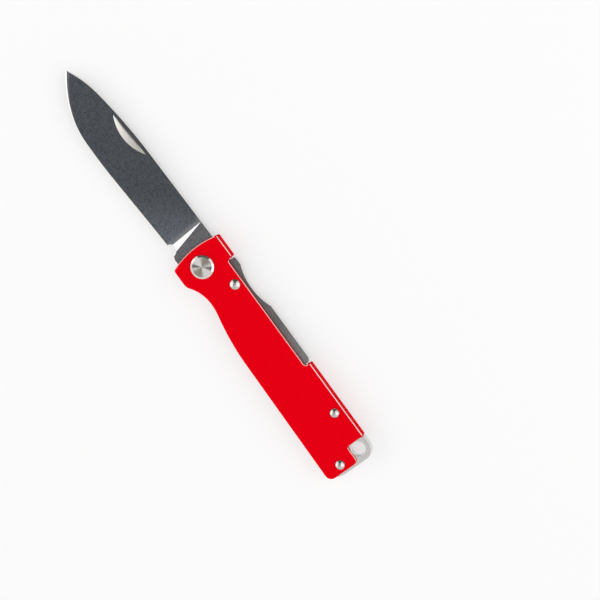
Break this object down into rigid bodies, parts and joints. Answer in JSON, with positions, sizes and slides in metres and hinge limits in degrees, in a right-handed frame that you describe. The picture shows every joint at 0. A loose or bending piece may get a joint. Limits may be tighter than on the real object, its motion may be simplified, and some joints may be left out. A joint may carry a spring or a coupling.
{
  "type": "folding pocket knife",
  "caption": "Slim folding pocket knife, open, with a handle of folded red sheet, a drop-point blade with nail nick, a spring lock bar in the spine and a steel lanyard loop.",
  "frame": {"origin": "middle of the open knife's box, on the surface that it lies on", "axes": "+X along the handle towards the tail, +Y towards the spine, +Z out of the front side, which has the plain pivot head and the nail nick"},
  "size_m": [0.1538, 0.0184, 0.0068],
  "materials": {
    "red_coat": "satin red coating on sheet metal, with light cut edges",
    "stonewashed_steel": "dark stonewashed faces, bright ground edge, back and nick",
    "turned_steel": "turned in fine rings, with a polished rim",
    "bronze": "satin",
    "bar_steel": "dark stonewashed sides, polished top",
    "polished_steel": "polished domes",
    "satin_steel": "satin"
  },
  "bodies": {
    "handle": {"handle_shell": "red_coat", "pivot_barrel": "turned_steel", "pivot_screw": "turned_steel", "pivot_washer_front": "bronze", "pivot_washer_rear": "bronze", "back_spring": "bar_steel", "lock_pin": "polished_steel", "spring_rivet": "polished_steel", "tail_rivet": "polished_steel", "tail_loop": "satin_steel"},
    "blade": {"blade": "stonewashed_steel"},
    "lock_lever": {"lock_lever": "bar_steel"}
  },
  "joints": [
    {"name": "blade_fold", "type": "hinge", "parent": "handle", "child": "blade", "pos_m": [-0.0019, -0.00095, 0.00342], "axis": [0, 0, 1], "range_deg": [0, 176]},
    {"name": "lock_release", "type": "hinge", "parent": "handle", "child": "lock_lever", "pos_m": [0.0085, 0.0041, 0.00342], "axis": [0, 0, 1], "range_deg": [0, 3.5], "stiffness_Nm_per_rad": 0.2, "springref_deg": 3.5}
  ]
}
